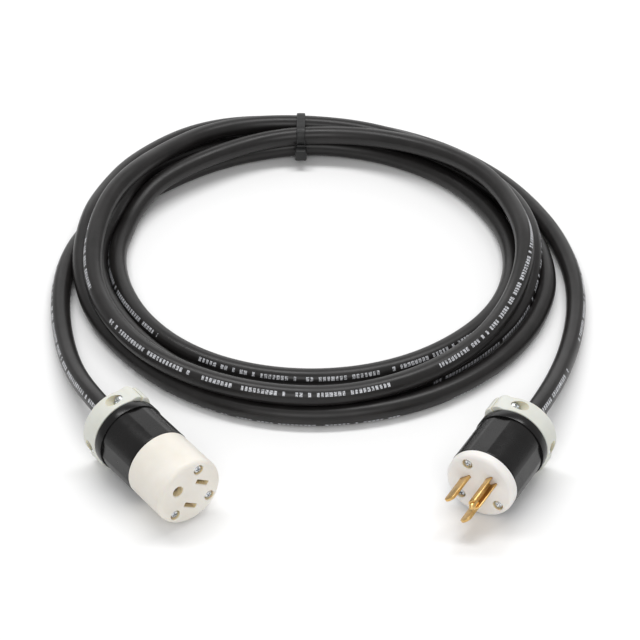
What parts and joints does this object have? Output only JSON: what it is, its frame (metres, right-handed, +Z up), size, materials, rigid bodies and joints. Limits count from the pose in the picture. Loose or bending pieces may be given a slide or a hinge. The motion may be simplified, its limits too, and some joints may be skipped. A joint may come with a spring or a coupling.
{
  "type": "power cord",
  "caption": "Coiled black flexible power cord held by a cable tie, with a grounded straight-blade plug and a matching cord connector, both clamped and screwed on.",
  "frame": {"origin": "centre of the box round the coil and both ends, on the surface that the cord lies on", "axes": "+Y from the two cord ends to the tied side of the coil, +X from the connector to the plug, +Z up"},
  "size_m": [0.2818, 0.3534, 0.0363],
  "materials": {
    "cord": "satin rubber jacket",
    "shell": "satin black nylon",
    "nylon": "natural translucent nylon",
    "clamp": "natural translucent nylon",
    "tie": "satin nylon",
    "brass": "rolled brass",
    "zinc": "zinc plated",
    "copper": "bare stranded copper",
    "wire_hot": "black insulation",
    "wire_neutral": "white insulation",
    "wire_ground": "green insulation"
  },
  "bodies": {
    "cord_assembly": {"cord_coil": "cord", "connector_lead": "cord", "plug_lead": "cord", "cable_tie": "tie", "plug_front": "nylon", "plug_shell": "shell", "plug_clamp_jaw_back": "clamp", "plug_assembly_screw_1": "zinc", "plug_assembly_screw_2": "zinc", "plug_assembly_screw_3": "zinc", "plug_blade_hot": "brass", "plug_blade_neutral": "brass", "plug_ground_pin": "brass", "plug_pressure_plate_hot": "zinc", "plug_terminal_screw_hot": "brass", "plug_wire_end_hot": "copper", "plug_wire_hot": "wire_hot", "plug_pressure_plate_neutral": "zinc", "plug_terminal_screw_neutral": "brass", "plug_wire_end_neutral": "copper", "plug_wire_neutral": "wire_neutral", "plug_pressure_plate_ground": "zinc", "plug_terminal_screw_ground": "brass", "plug_wire_end_ground": "copper", "plug_wire_ground": "wire_ground", "connector_front": "nylon", "connector_shell": "shell", "connector_clamp_jaw_back": "clamp", "connector_assembly_screw_1": "zinc", "connector_assembly_screw_2": "zinc", "connector_assembly_screw_3": "zinc", "connector_contact_hot": "brass", "connector_contact_neutral": "brass", "connector_contact_ground": "brass", "connector_pressure_plate_hot": "zinc", "connector_terminal_screw_hot": "brass", "connector_wire_end_hot": "copper", "connector_wire_hot": "wire_hot", "connector_pressure_plate_neutral": "zinc", "connector_terminal_screw_neutral": "brass", "connector_wire_end_neutral": "copper", "connector_wire_neutral": "wire_neutral", "connector_pressure_plate_ground": "zinc", "connector_terminal_screw_ground": "brass", "connector_wire_end_ground": "copper", "connector_wire_ground": "wire_ground"},
    "plug_clamp_jaw": {"plug_clamp_jaw_front": "clamp"},
    "plug_clamp_screw_left": {"plug_clamp_screw_left": "zinc"},
    "plug_clamp_screw_right": {"plug_clamp_screw_right": "zinc"},
    "connector_clamp_jaw": {"connector_clamp_jaw_front": "clamp"},
    "connector_clamp_screw_left": {"connector_clamp_screw_left": "zinc"},
    "connector_clamp_screw_right": {"connector_clamp_screw_right": "zinc"}
  },
  "joints": [
    {"name": "plug_clamp_travel", "type": "slide", "parent": "cord_assembly", "child": "plug_clamp_jaw", "axis": [0.6481, -0.3637, 0.6691], "range_m": [0, 0.0025]},
    {"name": "plug_clamp_screw_left_turn", "type": "hinge", "parent": "plug_clamp_jaw", "child": "plug_clamp_screw_left", "pos_m": [0.09256, -0.11484, 0.03224], "axis": [0.6481, -0.3637, 0.6691], "range_deg": [0, 1125.5]},
    {"name": "plug_clamp_screw_right_turn", "type": "hinge", "parent": "plug_clamp_jaw", "child": "plug_clamp_screw_right", "pos_m": [0.10773, -0.12335, 0.01292], "axis": [0.6481, -0.3637, 0.6691], "range_deg": [0, 1125.5]},
    {"name": "connector_clamp_travel", "type": "slide", "parent": "cord_assembly", "child": "connector_clamp_jaw", "axis": [-0.6604, -0.5012, 0.5592], "range_m": [0, 0.0025]},
    {"name": "connector_clamp_screw_left_turn", "type": "hinge", "parent": "connector_clamp_jaw", "child": "connector_clamp_screw_left", "pos_m": [-0.10523, -0.11889, 0.0111], "axis": [-0.6604, -0.5012, 0.5592], "range_deg": [0, 1125.5]},
    {"name": "connector_clamp_screw_right_turn", "type": "hinge", "parent": "connector_clamp_jaw", "child": "connector_clamp_screw_right", "pos_m": [-0.09365, -0.1101, 0.03266], "axis": [-0.6604, -0.5012, 0.5592], "range_deg": [0, 1125.5]}
  ],
  "couplings": [
    {"joint": "plug_clamp_screw_left_turn", "follows": "plug_clamp_travel", "rad_per_m": 7854},
    {"joint": "plug_clamp_screw_right_turn", "follows": "plug_clamp_travel", "rad_per_m": 7854},
    {"joint": "connector_clamp_screw_left_turn", "follows": "connector_clamp_travel", "rad_per_m": 7854},
    {"joint": "connector_clamp_screw_right_turn", "follows": "connector_clamp_travel", "rad_per_m": 7854}
  ]
}
